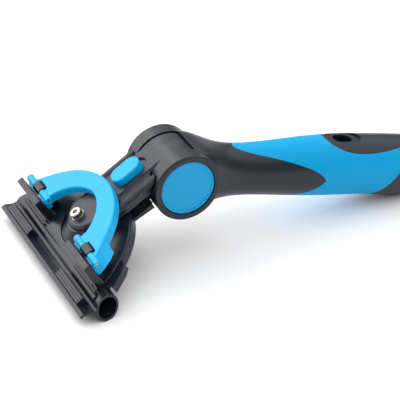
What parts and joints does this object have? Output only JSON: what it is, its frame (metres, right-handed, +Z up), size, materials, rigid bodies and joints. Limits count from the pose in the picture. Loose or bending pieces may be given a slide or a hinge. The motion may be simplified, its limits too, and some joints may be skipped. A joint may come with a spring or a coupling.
{
  "type": "squeegee handle",
  "caption": "Hand window squeegee handle: two-part grip with a pole socket, push-button tilting neck, swivelling clamp head with a horseshoe quick-release lever.",
  "frame": {"origin": "centre of the bounding box's base, on the table that the tube and the grip's rear stand on", "axes": "+X towards the rear end of the grip, +Y towards the far side, +Z up; the XZ plane is the middle plane"},
  "size_m": [0.2554, 0.1278, 0.0692],
  "materials": {
    "charcoal_plastic": "fine textured charcoal moulded nylon",
    "grip_rubber": "soft blue overmoulded rubber, satin",
    "lever_plastic": "light blue moulded plastic, satin gloss",
    "button_plastic": "blue moulded plastic, satin",
    "jaw_plastic": "charcoal moulded nylon",
    "inner_acetal": "plain off-white acetal",
    "stainless": "plain stainless steel",
    "spring_steel": "drawn spring wire"
  },
  "bodies": {
    "handle": {"handle_core": "charcoal_plastic", "grip_overmould": "grip_rubber", "hinge_axle": "stainless"},
    "far_angle_button": {"angle_button_far": "button_plastic", "lock_ring_far": "inner_acetal"},
    "near_angle_button": {"angle_button_near": "button_plastic", "lock_ring_near": "inner_acetal"},
    "neck": {"neck": "charcoal_plastic", "axle_bush_far": "inner_acetal", "axle_bush_near": "inner_acetal", "button_spring_far": "spring_steel", "button_spring_near": "spring_steel", "swivel_screw": "stainless", "swivel_screw_washer": "stainless", "swivel_nut": "stainless", "swivel_bush": "inner_acetal", "glide_washer_lower": "jaw_plastic", "glide_washer_upper": "jaw_plastic"},
    "slide_lock": {"lock_button": "lever_plastic", "lock_slider": "inner_acetal"},
    "head": {"head_base": "charcoal_plastic"},
    "lever": {"clamp_lever": "lever_plastic", "lever_pin_far": "stainless", "lever_pin_near": "stainless"},
    "jaws": {"clamp_jaw_far": "jaw_plastic", "clamp_jaw_near": "jaw_plastic"}
  },
  "joints": [
    {"name": "far_button_press", "type": "slide", "parent": "handle", "child": "far_angle_button", "axis": [0, -1, 0], "range_m": [0, 0.0032], "stiffness_N_per_m": 1500, "springref_m": -0.001, "deforming": ["button_spring_far"]},
    {"name": "near_button_press", "type": "slide", "parent": "handle", "child": "near_angle_button", "axis": [0, 1, 0], "range_m": [0, 0.0032], "stiffness_N_per_m": 1500, "springref_m": -0.001, "deforming": ["button_spring_near"]},
    {"name": "head_tilt", "type": "hinge", "parent": "handle", "child": "neck", "pos_m": [-0.04243, 0, 0.04817], "axis": [0, 1, 0], "range_deg": [0, 43.9]},
    {"name": "swivel_lock_slide", "type": "slide", "parent": "neck", "child": "slide_lock", "axis": [0.825, 0, 0.5651], "range_m": [0, 0.003]},
    {"name": "head_swivel", "type": "hinge", "parent": "neck", "child": "head", "pos_m": [-0.09698, 0, 0.02341], "axis": [-0.5651, 0, 0.825], "range_deg": [-30, 30]},
    {"name": "lever_lift", "type": "hinge", "parent": "head", "child": "lever", "pos_m": [-0.11231, 0, 0.03109], "axis": [0, -1, 0], "range_deg": [0, 90]},
    {"name": "jaw_release", "type": "slide", "parent": "head", "child": "jaws", "axis": [0.825, 0, 0.5651], "range_m": [0, 0.0008]}
  ],
  "couplings": [
    {"joint": "jaw_release", "follows": "lever_lift", "m_per_rad": 0.00050929}
  ]
}
